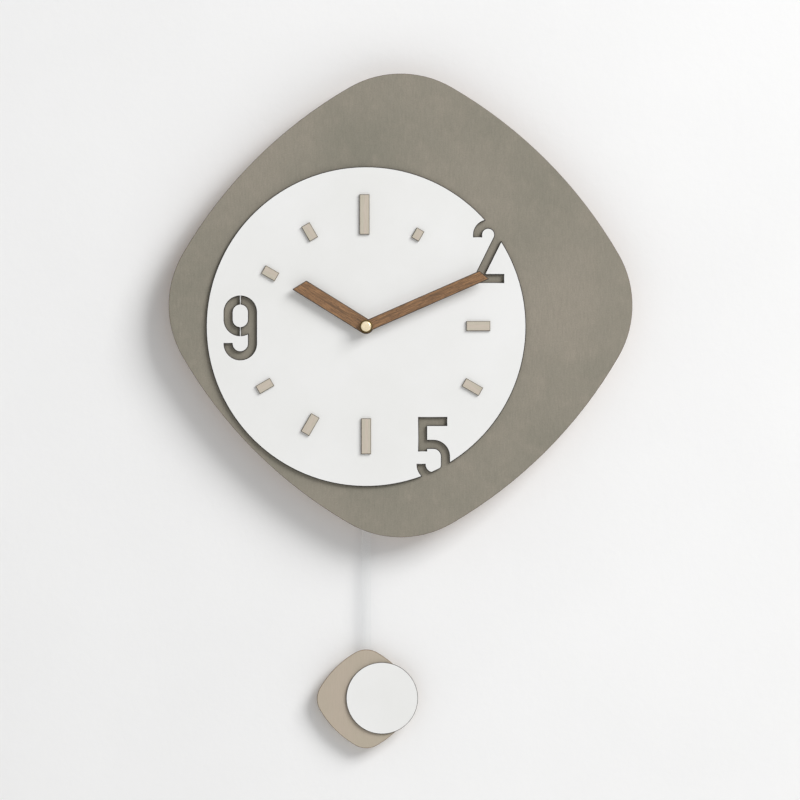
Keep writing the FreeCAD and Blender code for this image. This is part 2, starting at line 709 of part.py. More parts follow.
def build_train():
    motion, third, second, rotor = train_places()
    run, gap = size["run_gap"], size["gap"]
    tip = size["arbor_radius"]
    arbor = [
        shaft(size["train_arbor"], (size["shoulder_back"], size["shoulder_front"])),
        shaft(size["pivot"], (size["pivot_back"], size["pivot_front"])),
    ]

    turned(
        "minute_arbor",
        [
            shaft(1.0, (1.7, 4.5)),
            shaft(tip, (4.0, size["minute_back"])),
            shaft(size["arbor_tip"], (size["minute_back"] - 1, size["arbor_end"])),
        ],
    )
    turned(
        "centre_wheel",
        [
            toothed(60, size["centre_module"], layer("centre_layer")),
            shaft(2.4, layer("centre_layer", 0.8, 1.4)),
            toothed(12, size["motion_module"], layer("motion_layer", 0.2)),
        ],
        [shaft(tip + gap, (5, 14))],
    )
    third_phase = phase_of(8, 60, 0.0, 150)
    turned(
        "third_wheel",
        [
            toothed(8, size["centre_module"], layer("centre_layer", 0.4), third_phase),
            toothed(64, size["third_module"], layer("third_layer")),
            *arbor,
        ],
        u=third[0],
        v=third[1],
    )
    second_phase = phase_of(8, 64, 0.0, 250)
    turned(
        "seconds_wheel",
        [
            toothed(8, size["third_module"], layer("third_layer", 0.4), second_phase),
            toothed(60, size["third_module"], layer("second_layer")),
            *arbor,
        ],
        u=second[0],
        v=second[1],
    )
    motion_phase = phase_of(36, 12, 0.0, 30)
    turned(
        "motion_wheel",
        [
            toothed(36, size["motion_module"], layer("motion_layer"), motion_phase),
            toothed(10, size["hour_module"], (12.0, 14.1)),
            shaft(size["stem_radius"], (1.6, 14.2)),
            shaft(0.6, (14.0, 16.2)),
        ],
        u=motion[0],
        v=motion[1],
    )
    knob = shaft(size["knob_radius"], (0.5, 3.0))
    grips = [
        Part.makeCylinder(
            0.5, 4, V(size["knob_radius"] * math.cos(a), size["knob_radius"] * math.sin(a), 0)
        )
        for a in [math.pi * k / 10 for k in range(20)]
    ]
    slot = Part.makeBox(6.0, 1.0, 1.6, V(-3.0, -0.5, -0.5))
    bore = shaft(size["stem_radius"] + gap, (1.5, 4))
    turned("setting_knob", [knob], [*grips, slot, bore], *motion)
    # the hour wheel's phase follows from the motion pinion on the far side of the same line
    hour_phase = phase_of(40, 10, 0.0, 210)
    turned(
        "hour_wheel",
        [
            toothed(40, size["hour_module"], layer("hour_layer"), hour_phase),
            shaft(size["tube_radius"], (size["hour_layer"], size["hour_back"])),
            shaft(size["tube_radius"] - 0.2, (size["hour_layer"], size["tube_end"])),
        ],
        [shaft(tip + run, (10, size["tube_end"] + 2))],
    )
    magnet = shaft(size["rotor_radius"], (8.0, size["shoulder_front"]))
    turned("rotor_magnet", [magnet], [shaft(size["pivot"] + gap, (5, 12))], *rotor)
    turned(
        "rotor_pinion",
        [
            toothed(6, 0.3, (4.6, 6.6)),
            shaft(size["pivot"], (size["pivot_back"], size["pivot_front"])),
            shaft(size["train_arbor"], (size["shoulder_back"], 7.95)),
        ],
        u=rotor[0],
        v=rotor[1],
    )


# ---- electrics ----


def build_motor():
    """Stepping motor: stator plate round the rotor, coil core, bobbin and winding."""
    rotor = train_places()[3]
    iron = ("stator_back", "stator_back + stator_thick")
    plate = block((-28.4, 18), (-18, -11.2), iron)
    legs = [block((u - 2, u + 2), ("- motor_v - 2", -17.5), iron) for u, v in STATOR_POSTS]
    hole = post("rotor_radius + 0.5", ("stator_back - 1", "stator_back + 2"), *rotor)
    keep(cut(fuse(plate, *legs), hole), "stator_plate", to_clock())
    core = block((-18, 18), ("- motor_v - 1.6", "1.6 - motor_v"), ("stator_back - core_thick", "stator_back"))
    keep(compound([core]), "coil_core", to_clock())
    axis = ("- motor_v", "stator_back - core_thick / 2")
    spool = fuse(
        bar(2.6, (-12.5, 12.5), *axis),
        bar(5.2, (-12.5, -11.3), *axis),
        bar(5.2, (11.3, 12.5), *axis),
    )
    keep(cut(spool, bar(1.75, (-14, 14), *axis)), "motor_bobbin", to_clock())
    winding = bar(4.7, (-11.3, 11.3), *axis)
    keep(cut(winding, bar("2.6 + gap", (-12, 12), *axis)), "motor_winding", to_clock())


def build_boards():
    """Clock board and drive board on their posts, with chip, crystal and transistor."""
    flat = ("board_back", "board_back + board_thick")
    board = block((20.6, 33.4), (-12, 18), flat)
    chip = post(3.0, ("board_back - 1", "board_back"), 27.5, 6.0)
    keep(fuse(board, chip), "clock_board", to_clock())
    can = doc.addObject("Part::Cylinder", "Can")
    can.Radius = 1.0
    can.Height = 6.0
    can.Placement = FreeCAD.Placement(V(24.0, -2, 11.0), FreeCAD.Rotation(V(1, 0, 0), 90))
    keep(compound([can]), "quartz_crystal", to_clock())
    board = block((14.0, 30.0), ("- swing_v - 24", "- swing_v - 1"), flat)
    drive_chip = (("- swing_v - 15", "- swing_v - 11"), ("board_back - 1.6", "board_back"))
    transistor = block((18.0, 22.0), *drive_chip)
    keep(fuse(board, transistor), "drive_board", to_clock())


def build_cell():
    """AA cell with its nub, and the two contact plates at the bay's ends."""
    low, high = "- cell_long / 2 + 0.6", "cell_long / 2 + 0.6"
    body = bar("cell_radius", (low, high), "- cell_v", "cell_radius + 0.8")
    nub = bar(2.7, (high, f"{high} + 1"), "- cell_v", "cell_radius + 0.8")
    keep(fuse(body, nub), "battery", to_clock())
    face = ("4 - cell_v - 8", "4 - cell_v")
    plate = block(("bay_end - 0.4", "bay_end"), face, (2.0, 14.0))
    dimple = bar(2.0, ("cell_long / 2 + 1.65", "bay_end - 0.4"), "- cell_v", "cell_radius + 0.8")
    keep(fuse(plate, dimple), "contact_plus", to_clock())
    plate = block(("- bay_end", "0.4 - bay_end"), face, (2.0, 14.0))
    leaf = bar(3.0, ("0.4 - bay_end", "0.55 - cell_long / 2"), "- cell_v", "cell_radius + 0.8")
    hollow = bar(2.6, ("0.8 - bay_end", "1 - cell_long / 2"), "- cell_v", "cell_radius + 0.8")
    keep(cut(fuse(plate, leaf), hollow), "contact_minus", to_clock())


def build_drive_coil():
    spool = fuse(
        post("coil_post + gap + 0.6", ("coil_back", "case_front"), 0, "- magnet_v"),
        post(8.6, ("coil_back", "coil_back + 0.6"), 0, "- magnet_v"),
        post(8.6, ("case_front - 0.6", "case_front"), 0, "- magnet_v"),
    )
    hole = post("coil_post + gap", ("coil_back + 0.35", "case_front + 1"), 0, "- magnet_v")
    keep(cut(spool, hole), "drive_bobbin", to_clock())
    winding = post(8.2, ("coil_back + 0.6", "case_front - 0.6"), 0, "- magnet_v")
    hole = post("coil_post + 0.6 + 2 * gap", ("coil_back", "case_front"), 0, "- magnet_v")
    keep(cut(winding, hole), "drive_winding", to_clock())


# ---- pendulum ----


def build_pendulum():
    pin = post("swing_pin", (1.3, "coil_back + 3.8"), 0, "- swing_v")
    keep(compound([pin]), "pivot_pin", to_clock())
    flat = ("lever_back", "magnet_back")
    lever = fuse(
        post("lever_half + 1", ("lever_back", "coil_back - 0.7"), 0, "- swing_v"),
        block(("- lever_half", "lever_half"), ("- peg_v", "- swing_v"), flat),
        post("lever_half", flat, 0, "- peg_v"),
        post("magnet_radius + 0.8", flat, 0, "- magnet_v"),
        post("peg_radius", ("lever_back", "bob_back + 0.2"), 0, "- peg_v"),
        post("rod_hole - 0.2", ("bob_back + 0.2", "bob_back + 1"), 0, "- peg_v"),
    )
    bore = post("swing_pin + run_gap", ("lever_back - 1", "coil_back"), 0, "- swing_v")
    keep(cut(lever, bore), "swing_lever", to_clock())
    thick = ("magnet_back", "magnet_back + magnet_thick")
    magnet = post("magnet_radius", thick, 0, "- magnet_v")
    keep(compound([magnet]), "drive_magnet", to_clock())

    drop = size["rod_hole"] - size["peg_radius"] - 0.05
    top = -size["peg_v"] - drop
    foot = -size["bob_v"] - 0.6 * size["bob_half"]
    half = size["rod_half"]
    strip = [
        arc(0, top, half, 0, 180),
        Part.LineSegment(V(-half, top, 0), V(-half, foot, 0)),
        Part.LineSegment(V(-half, foot, 0), V(half, foot, 0)),
        Part.LineSegment(V(half, foot, 0), V(half, top, 0)),
    ]
    hole = circle(size["rod_hole"], 0, top)
    sheet_cut("pendulum_rod", [strip, hole], "rod_back", "rod_thick")
    share = size["bob_half"] / size["panel_half"]
    outline = rounded_square(
        size["bob_half"],
        share * size["panel_bow"],
        share * size["panel_corner"],
        0,
        -size["bob_v"],
    )
    sheet_cut("bob_plate", [outline], "bob_back", "bob_thick")
    disc = circle(size["bob_disc"], size["bob_disc_u"], size["bob_disc_up"] - size["bob_v"])
    sheet_cut("bob_disc", [disc], "bob_front", "bob_disc_thick")


# ---- wall hanger ----


def build_hanger():
    """Steel keyhole plate across the panel's recess, with its two screws."""
    u, v = size["hanger_u"], size["hanger_v"]
    slot = size["key_slot"]
    meet = math.degrees(math.asin(slot / size["keyhole"]))
    lift = size["keyhole"] * math.cos(math.radians(meet))
    top = v + 9
    keyhole = [
        arc(u, v, size["keyhole"], 90 + meet, 450 - meet),
        Part.LineSegment(V(u + slot, v + lift, 0), V(u + slot, top, 0)),
        arc(u, top, slot, 0, 180),
        Part.LineSegment(V(u - slot, top, 0), V(u - slot, v + lift, 0)),
    ]
    plate = rectangle((u - 21, u + 21), (v - 8, v + 15))
    screws = [circle(1.5 + size["gap"], u + side * 16, v + 3) for side in (-1, 1)]
    sheet_cut("hanger_plate", [plate, keyhole, *screws], "hanger_back", "hanger_thick")
    pieces = []
    for side in (-1, 1):
        spot = (f"hanger_u + {side * 16}", "hanger_v + 3")
        head = rounded_dome(spot)
        pieces.append(fuse(head, post(1.5, ("hanger_back - 0.2", "panel_back + 6.8"), *spot)))
    keep(compound(pieces), "hanger_screws", to_clock())


def rounded_dome(spot):
    """A screw's flat dome with a cross slot."""
    head = post(3.1, ("hanger_back - 1.6", "hanger_back"), *spot)
    u, v = spot
    across = block((f"{u} - 1.6", f"{u} + 1.6"), (f"{v} - 0.35", f"{v} + 0.35"), (0, "hanger_back - 0.8"))
    upright = block((f"{u} - 0.35", f"{u} + 0.35"), (f"{v} - 1.6", f"{v} + 1.6"), (0, "hanger_back - 0.8"))
    return cut(head, across, upright)


def check_and_write():
    """Refuse a failed object or an invalid shape, then write one file per sub-part."""
    doc.recompute()
    for obj in doc.Objects:
        faults = [state for state in obj.State if state in ("Invalid", "Error")]
        if faults:
            raise RuntimeError(f"{obj.Label} is {faults}")
    for obj in parts:
        if obj.Shape.isNull() or not obj.Shape.isValid():
            raise RuntimeError(f"{obj.Label} has no valid shape")
    os.makedirs("parts", exist_ok=True)
    for obj in parts:
        obj.Shape.exportStep(f"parts/{obj.Label}.step")
        print(f"{obj.Label}: {len(obj.Shape.Solids)} solid(s), {obj.Shape.Volume:.1f} mm3")


build_panel()
build_dial()
build_markers()
build_hands()
build_case_front()
build_case_back()
build_case_screws()
build_fixing()
build_train()
build_motor()
build_boards()
build_cell()
build_drive_coil()
build_pendulum()
build_hanger()
check_and_write()
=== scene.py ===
import math

import bmesh
import bpy
import numpy as np
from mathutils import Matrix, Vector


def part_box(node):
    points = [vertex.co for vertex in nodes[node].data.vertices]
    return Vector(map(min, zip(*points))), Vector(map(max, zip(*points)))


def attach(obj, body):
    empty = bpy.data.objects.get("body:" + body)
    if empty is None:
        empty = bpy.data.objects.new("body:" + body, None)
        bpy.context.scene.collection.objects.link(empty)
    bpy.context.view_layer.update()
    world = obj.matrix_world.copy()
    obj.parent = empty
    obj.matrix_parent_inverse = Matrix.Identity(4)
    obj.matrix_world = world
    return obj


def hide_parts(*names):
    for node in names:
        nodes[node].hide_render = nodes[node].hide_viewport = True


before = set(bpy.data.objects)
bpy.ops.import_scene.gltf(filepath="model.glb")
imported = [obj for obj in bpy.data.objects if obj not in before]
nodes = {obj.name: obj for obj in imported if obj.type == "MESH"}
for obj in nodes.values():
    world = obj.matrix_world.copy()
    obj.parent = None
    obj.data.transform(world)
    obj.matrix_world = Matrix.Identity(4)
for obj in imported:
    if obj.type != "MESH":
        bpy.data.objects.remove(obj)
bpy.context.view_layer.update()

stage = bpy.context.scene
stage.view_settings.view_transform = "Standard"
print("frame loaded:", len(nodes), "pieces")


def linear(red, green, blue):
    # a colour given in screen values 0 to 255, as the renderer's own linear values
    def one(value):
        share = value / 255
        return share / 12.92 if share <= 0.04045 else ((share + 0.055) / 1.055) ** 2.4

    return (one(red), one(green), one(blue), 1.0)


# ---- small tools for shader trees ----


def put(tree, kind, sockets=None, **settings):
    # adds a node; each socket takes either a value or another node's output
    node = tree.nodes.new(kind)
    for name, value in settings.items():
        setattr(node, name, value)
    for name, value in (sockets or {}).items():
        if isinstance(value, bpy.types.NodeSocket):
            tree.links.new(value, node.inputs[name])
        else:
            node.inputs[name].default_value = value
    return node


def calc(tree, operation, first, second=0.0, clamp=False):
    node = put(tree, "ShaderNodeMath", {0: first, 1: second}, operation=operation)
    node.use_clamp = clamp
    return node.outputs[0]


def remap(tree, value, low, high, toLow=0.0, toHigh=1.0):
    sockets = {"Value": value, "From Min": low, "From Max": high, "To Min": toLow, "To Max": toHigh}
    return put(tree, "ShaderNodeMapRange", sockets, clamp=True).outputs["Result"]


def mix(tree, factor, first, second, mode="MIX"):
    node = put(tree, "ShaderNodeMix", {0: factor, 6: first, 7: second}, data_type="RGBA")
    node.blend_type = mode
    return node.outputs[2]


def noise(tree, vector, scale, detail=3.0, roughness=0.55):
    sockets = {"Vector": vector, "Scale": scale, "Detail": detail, "Roughness": roughness}
    return put(tree, "ShaderNodeTexNoise", sockets).outputs["Fac"]


def stretched(tree, vector, turn=0.0, scale=(1.0, 1.0, 1.0)):
    # turns the pattern about the clock's depth axis, then stretches it
    sockets = {"Vector": vector, "Rotation": (0.0, turn, 0.0)}
    turned = put(tree, "ShaderNodeMapping", sockets).outputs[0]
    return put(tree, "ShaderNodeMapping", {"Vector": turned, "Scale": scale}).outputs[0]


def newGroup(name, inputs, outputs):
    # inputs and outputs: socket name, kind and, for an input, its default
    group = bpy.data.node_groups.new(name, "ShaderNodeTree")
    for label, kind, value in inputs:
        socket = group.interface.new_socket(label, in_out="INPUT", socket_type=kind)
        socket.default_value = value
    for label, kind in outputs:
        group.interface.new_socket(label, in_out="OUTPUT", socket_type=kind)
    source = group.nodes.new("NodeGroupInput")
    sink = group.nodes.new("NodeGroupOutput")
    return group, source.outputs, sink.inputs


def useGroup(tree, group, sockets=None):
    node = tree.nodes.new("ShaderNodeGroup")
    node.node_tree = group
    for name, value in (sockets or {}).items():
        if isinstance(value, bpy.types.NodeSocket):
            tree.links.new(value, node.inputs[name])
        else:
            node.inputs[name].default_value = value
    return node.outputs


def newMaterial(name, **surface):
    # an empty material with its Principled shader; surface gives constant socket values
    material = bpy.data.materials.new(name)
    material.use_nodes = True
    tree = material.node_tree
    tree.nodes.clear()
    shader = put(tree, "ShaderNodeBsdfPrincipled")
    sink = put(tree, "ShaderNodeOutputMaterial", {"Surface": shader.outputs[0]})
    sink.location = (300, 0)
    for label, value in surface.items():
        words = "".join(" " + c if c.isupper() else c for c in label).strip()
        shader.inputs[words[0].upper() + words[1:]].default_value = value
    place = put(tree, "ShaderNodeTexCoord").outputs["Object"]
    return material, tree, shader, place


def bump(tree, shader, height, distance, strength=1.0):
    sockets = {"Height": height, "Distance": distance, "Strength": strength}
    tree.links.new(put(tree, "ShaderNodeBump", sockets).outputs[0], shader.inputs["Normal"])


# ---- shared effects ----


def facingGroup():
    # how far a face is the front, the back or a cut side of a flat board
    group, _, sink = newGroup(
        "boardFacing",
        [],
        [("Front", "NodeSocketFloat"), ("Back", "NodeSocketFloat"), ("Side", "NodeSocketFloat")],
    )
    normal = put(group, "ShaderNodeTexCoord").outputs["Normal"]
    depth = put(group, "ShaderNodeSeparateXYZ", {0: normal}).outputs["Y"]
    group.links.new(remap(group, depth, -0.85, -0.93), sink["Front"])
    group.links.new(remap(group, depth, 0.85, 0.93), sink["Back"])
    away = calc(group, "ABSOLUTE", depth)
    group.links.new(remap(group, away, 0.93, 0.85), sink["Side"])
    return group


def charGroup():
    # laser-cut side of a board: charred, streaked along the beam, paler in blotches
    group, source, sink = newGroup(
        "burntEdge",
        [
            ("Vector", "NodeSocketVector", (0, 0, 0)),
            ("Dark", "NodeSocketColor", linear(38, 30, 24)),
            ("Pale", "NodeSocketColor", linear(96, 72, 50)),
        ],
        [("Color", "NodeSocketColor"), ("Height", "NodeSocketFloat")],
    )
    streaks = noise(group, stretched(group, source["Vector"], 0.0, (1.0, 0.08, 1.0)), 900.0, 2.0)
    blotch = noise(group, source["Vector"], 60.0, 2.0)
    tone = calc(group, "MULTIPLY", remap(group, streaks, 0.35, 0.75), remap(group, blotch, 0.3, 0.7))
    group.links.new(mix(group, tone, source["Dark"], source["Pale"]), sink["Color"])
    group.links.new(streaks, sink["Height"])
    return group


def grainGroup():
    # wood grain along X after a turn: long fibres, short pores and slow bands
    group, source, sink = newGroup(
        "woodGrain",
        [
            ("Vector", "NodeSocketVector", (0, 0, 0)),
            ("Fibre", "NodeSocketFloat", 1400.0),
            ("Pore", "NodeSocketFloat", 2600.0),
            ("Band", "NodeSocketFloat", 160.0),
        ],
        [("Grain", "NodeSocketFloat"), ("Pores", "NodeSocketFloat"), ("Bands", "NodeSocketFloat")],
    )
    sway = noise(group, source["Vector"], 18.0, 2.0)
    shift = put(group, "ShaderNodeCombineXYZ", {2: calc(group, "MULTIPLY", sway, 0.004)}).outputs[0]
    bent = put(group, "ShaderNodeVectorMath", {0: source["Vector"], 1: shift}).outputs[0]
    long = stretched(group, bent, 0.0, (0.05, 1.0, 1.0))
    short = stretched(group, bent, 0.0, (0.11, 1.0, 1.0))
    group.links.new(noise(group, long, source["Fibre"], 4.0, 0.6), sink["Grain"])
    pores = noise(group, short, source["Pore"], 2.0)
    group.links.new(remap(group, pores, 0.55, 0.66), sink["Pores"])
    group.links.new(noise(group, long, source["Band"], 2.0), sink["Bands"])
    return group


def mottleGroup():
    # cloudy tone of a painted or stone-like surface, at three scales
    group, source, sink = newGroup(
        "mottle",
        [
            ("Vector", "NodeSocketVector", (0, 0, 0)),
            ("Cloud", "NodeSocketFloat", 14.0),
            ("Spot", "NodeSocketFloat", 110.0),
            ("Fleck", "NodeSocketFloat", 1100.0),
        ],
        [("Clouds", "NodeSocketFloat"), ("Spots", "NodeSocketFloat"), ("Flecks", "NodeSocketFloat")],
    )
    for label, size, detail in (("Clouds", "Cloud", 4.0), ("Spots", "Spot", 3.0), ("Flecks", "Fleck", 2.0)):
        group.links.new(noise(group, source["Vector"], source[size], detail), sink[label])
    return group


def dustGroup():
    # fine dust that dulls a surface in patches
    group, source, sink = newGroup(
        "dust",
        [("Vector", "NodeSocketVector", (0, 0, 0)), ("Amount", "NodeSocketFloat", 0.2)],
        [("Mask", "NodeSocketFloat")],
    )
    patch = remap(group, noise(group, source["Vector"], 45.0, 4.0), 0.4, 0.8)
    specks = remap(group, noise(group, source["Vector"], 3200.0, 1.0), 0.55, 0.72)
    both = calc(group, "MULTIPLY", calc(group, "ADD", patch, specks, clamp=True), source["Amount"])
    group.links.new(both, sink["Mask"])
    return group


facing = facingGroup()
burntEdge = charGroup()
woodGrain = grainGroup()
mottle = mottleGroup()
dust = dustGroup()
print("shared effects made")


# ---- boards ----


def rawFibre(tree, place, tone):
    # bare fibreboard: felted short fibres in warm brown
    felt = noise(tree, stretched(tree, place, 0.5, (1.0, 1.0, 0.25)), 1500.0, 3.0)
    cross = noise(tree, stretched(tree, place, -0.7, (1.0, 1.0, 0.3)), 1100.0, 3.0)
    both = calc(tree, "MULTIPLY", calc(tree, "ADD", felt, cross), 0.5)
    dark = tuple(0.72 * value for value in tone[:3]) + (1.0,)
    return mix(tree, remap(tree, both, 0.35, 0.65), dark, tone)


panelLook = {
    "paint": linear(145, 138, 125),
    "shade": linear(130, 126, 113),
    "warm": linear(154, 146, 133),
    "fibreboard": linear(164, 130, 96),
    "edgeDark": linear(58, 43, 32),
    "edgePale": linear(112, 84, 58),
}


def panelFinish():
    look = panelLook
    material, tree, shader, place = newMaterial("panelFinish", roughness=0.78)
    side = useGroup(tree, facing)
    tones = useGroup(tree, mottle, {"Vector": place, "Cloud": 9.0, "Spot": 70.0, "Fleck": 900.0})
    weave = noise(tree, stretched(tree, place, 0.0, (1.0, 1.0, 0.18)), 700.0, 3.0)
    paint = mix(tree, remap(tree, tones["Clouds"], 0.32, 0.68), look["shade"], look["paint"])
    paint = mix(tree, remap(tree, tones["Spots"], 0.5, 0.8, 0.0, 0.5), paint, look["warm"])
    speck = remap(tree, tones["Flecks"], 0.3, 0.7, 0.93, 1.07)
    thread = remap(tree, weave, 0.3, 0.7, 0.95, 1.05)
    both = calc(tree, "MULTIPLY", speck, thread)
    grey = put(tree, "ShaderNodeCombineColor", {0: both, 1: both, 2: both}).outputs[0]
    paint = mix(tree, 1.0, paint, grey, "MULTIPLY")
    raw = rawFibre(tree, place, look["fibreboard"])
    edge = useGroup(tree, burntEdge, {"Vector": place, "Dark": look["edgeDark"], "Pale": look["edgePale"]})
    colour = mix(tree, side["Back"], paint, raw)
    colour = mix(tree, side["Side"], colour, edge["Color"])
    tree.links.new(colour, shader.inputs["Base Color"])
    tree.links.new(remap(tree, tones["Spots"], 0.3, 0.7, 0.7, 0.86), shader.inputs["Roughness"])
    height = calc(tree, "ADD", calc(tree, "MULTIPLY", tones["Flecks"], 0.6), weave)
    bump(tree, shader, height, 0.00012, 0.5)
    return material


whiteLook = {
    "face": linear(237, 237, 236),
    "faceShade": linear(233, 233, 231),
    "fibreboard": linear(170, 136, 101),
    "edgeDark": linear(18, 15, 13),
    "edgePale": linear(58, 44, 32),
}


def whiteBoard(name):
    # white-faced board with charred cut sides and a bare back
    look = whiteLook
    material, tree, shader, place = newMaterial(name, roughness=0.5)
    side = useGroup(tree, facing)
    tones = useGroup(tree, mottle, {"Vector": place, "Cloud": 12.0, "Spot": 240.0, "Fleck": 2200.0})
    face = mix(tree, remap(tree, tones["Clouds"], 0.35, 0.65), look["faceShade"], look["face"])
    raw = rawFibre(tree, place, look["fibreboard"])
    edge = useGroup(tree, burntEdge, {"Vector": place, "Dark": look["edgeDark"], "Pale": look["edgePale"]})
    colour = mix(tree, side["Back"], face, raw)
    colour = mix(tree, side["Side"], colour, edge["Color"])
    tree.links.new(colour, shader.inputs["Base Color"])
    grime = useGroup(tree, dust, {"Vector": place, "Amount": 0.35})["Mask"]
    rough = remap(tree, calc(tree, "ADD", grime, side["Side"]), 0.0, 1.0, 0.44, 0.8)
    tree.links.new(rough, shader.inputs["Roughness"])
    bump(tree, shader, calc(tree, "ADD", tones["Flecks"], tones["Spots"]), 0.00004, 0.35)
    return material


bobLook = {
    "face": linear(179, 169, 151),
    "faceWarm": linear(184, 171, 155),
    "streak": linear(165, 155, 136),
    "fibreboard": linear(176, 150, 118),
    "edgeDark": linear(104, 84, 62),
    "edgePale": linear(160, 136, 108),
}


def bobFinish():
    look = bobLook
    material, tree, shader, place = newMaterial("bobFinish", roughness=0.7)
    side = useGroup(tree, facing)
    along = stretched(tree, place, math.radians(-90))
    grain = useGroup(tree, woodGrain, {"Vector": along, "Fibre": 1500.0, "Pore": 2400.0, "Band": 130.0})
    tones = useGroup(tree, mottle, {"Vector": place, "Cloud": 26.0, "Spot": 200.0, "Fleck": 1600.0})
    face = mix(tree, remap(tree, tones["Clouds"], 0.35, 0.65), look["face"], look["faceWarm"])
    face = mix(tree, remap(tree, grain["Grain"], 0.42, 0.75, 0.0, 0.45), face, look["streak"])
    edge = useGroup(tree, burntEdge, {"Vector": place, "Dark": look["edgeDark"], "Pale": look["edgePale"]})
    raw = rawFibre(tree, place, look["fibreboard"])
    colour = mix(tree, side["Back"], face, raw)
    colour = mix(tree, side["Side"], colour, edge["Color"])
    tree.links.new(colour, shader.inputs["Base Color"])
    tree.links.new(remap(tree, tones["Spots"], 0.3, 0.7, 0.62, 0.78), shader.inputs["Roughness"])
    bump(tree, shader, calc(tree, "ADD", grain["Grain"], tones["Flecks"]), 0.00005, 0.5)
    return material


handLook = {
    "light": linear(160, 120, 82),
    "mid": linear(110, 81, 54),
    "dark": linear(62, 43, 27),
    "edgeDark": linear(38, 28, 19),
    "edgePale": linear(70, 50, 34),
}


def walnut(name, angle):
    # oiled walnut with its grain along a hand that points at this angle
    look = handLook
    material, tree, shader, place = newMaterial(name, roughness=0.55)
    side = useGroup(tree, facing)
    along = stretched(tree, place, math.radians(angle))
    grain = useGroup(tree, woodGrain, {"Vector": along, "Fibre": 2000.0, "Pore": 2300.0, "Band": 420.0})
    face = mix(tree, remap(tree, grain["Grain"], 0.40, 0.62), look["mid"], look["light"])
    face = mix(tree, remap(tree, grain["Bands"], 0.5, 0.72, 0.0, 0.55), face, look["dark"])
    face = mix(tree, calc(tree, "MULTIPLY", grain["Pores"], 0.75), face, look["dark"])
    edge = useGroup(tree, burntEdge, {"Vector": place, "Dark": look["edgeDark"], "Pale": look["edgePale"]})
    colour = mix(tree, side["Side"], face, edge["Color"])
    tree.links.new(colour, shader.inputs["Base Color"])
    tree.links.new(remap(tree, grain["Grain"], 0.3, 0.7, 0.46, 0.66), shader.inputs["Roughness"])
    height = calc(tree, "SUBTRACT", grain["Grain"], grain["Pores"])
    bump(tree, shader, height, 0.00008, 0.6)
    return material


markerLook = {
    "face": linear(193, 186, 170),
    "warm": linear(200, 187, 174),
    "streak": linear(176, 168, 148),
    "edgeDark": linear(88, 78, 64),
    "edgePale": linear(128, 116, 98),
}


def stickWood(name, angle):
    # pale limed wood, grain along the stick
    look = markerLook
    material, tree, shader, place = newMaterial(name, roughness=0.62)
    normal = put(tree, "ShaderNodeTexCoord").outputs["Normal"]
    depth = put(tree, "ShaderNodeSeparateXYZ", {0: normal}).outputs["Y"]
    wall = remap(tree, depth, -0.9, -0.8)
    along = stretched(tree, place, math.radians(angle))
    grain = useGroup(tree, woodGrain, {"Vector": along, "Fibre": 1500.0, "Pore": 2600.0, "Band": 420.0})
    face = mix(tree, remap(tree, grain["Bands"], 0.35, 0.65), look["face"], look["warm"])
    face = mix(tree, remap(tree, grain["Grain"], 0.45, 0.72, 0.0, 0.6), face, look["streak"])
    edge = useGroup(tree, burntEdge, {"Vector": place, "Dark": look["edgeDark"], "Pale": look["edgePale"]})
    tree.links.new(mix(tree, wall, face, edge["Color"]), shader.inputs["Base Color"])
    tree.links.new(remap(tree, grain["Grain"], 0.3, 0.7, 0.55, 0.72), shader.inputs["Roughness"])
    bump(tree, shader, grain["Grain"], 0.00006, 0.5)
    return material


# ---- metals, plastics and the rest of the movement ----


brassLook = {
    "clean": linear(252, 238, 208),
    "aged": linear(240, 220, 178),
    # rim: colour of the painted dark reflection ring on the nut's domed flank
    "rim": linear(92, 78, 48),
    "rings": 5200.0,
}


def turnedBrass(name, brightRadius):
    # lathe-turned brass: rings about the hands' axis; beyond the bright radius the colour is darkened as a
    # painted dark reflection ring and the roughness raised
    look = brassLook
    material, tree, shader, place = newMaterial(name, metallic=1.0, roughness=0.28)
    flat = put(tree, "ShaderNodeMapping", {"Vector": place, "Scale": (1.0, 0.0, 1.0)})
    reach = put(tree, "ShaderNodeVectorMath", {0: flat.outputs[0]}, operation="LENGTH").outputs["Value"]
    wave = calc(tree, "SINE", calc(tree, "MULTIPLY", reach, look["rings"] * math.pi))
    patch = noise(tree, place, 420.0, 3.0)
    colour = mix(tree, remap(tree, patch, 0.35, 0.75), look["clean"], look["aged"])
    # painted dark reflection: the brass is darkened beyond this radius
    paintedDarkRing = remap(tree, reach, brightRadius, brightRadius + 0.0002)
    colour = mix(tree, paintedDarkRing, colour, look["rim"])
    tree.links.new(colour, shader.inputs["Base Color"])
    rough = calc(tree, "ADD", remap(tree, patch, 0.3, 0.8, 0.2, 0.42), calc(tree, "MULTIPLY", paintedDarkRing, 0.2))
    tree.links.new(rough, shader.inputs["Roughness"])
    bump(tree, shader, wave, 0.000012, 0.5)
    return material


def zincSteel(name):
    material, tree, shader, place = newMaterial(name, metallic=1.0, roughness=0.36)
    streak = noise(tree, stretched(tree, place, 0.3, (0.15, 1.0, 1.0)), 1800.0, 3.0)
    patch = noise(tree, place, 240.0, 3.0)
    colour = mix(tree, remap(tree, patch, 0.35, 0.7), linear(196, 198, 200), linear(160, 163, 166))
    tree.links.new(colour, shader.inputs["Base Color"])
    tree.links.new(remap(tree, streak, 0.3, 0.7, 0.28, 0.48), shader.inputs["Roughness"])
    bump(tree, shader, streak, 0.00002, 0.4)
    return material


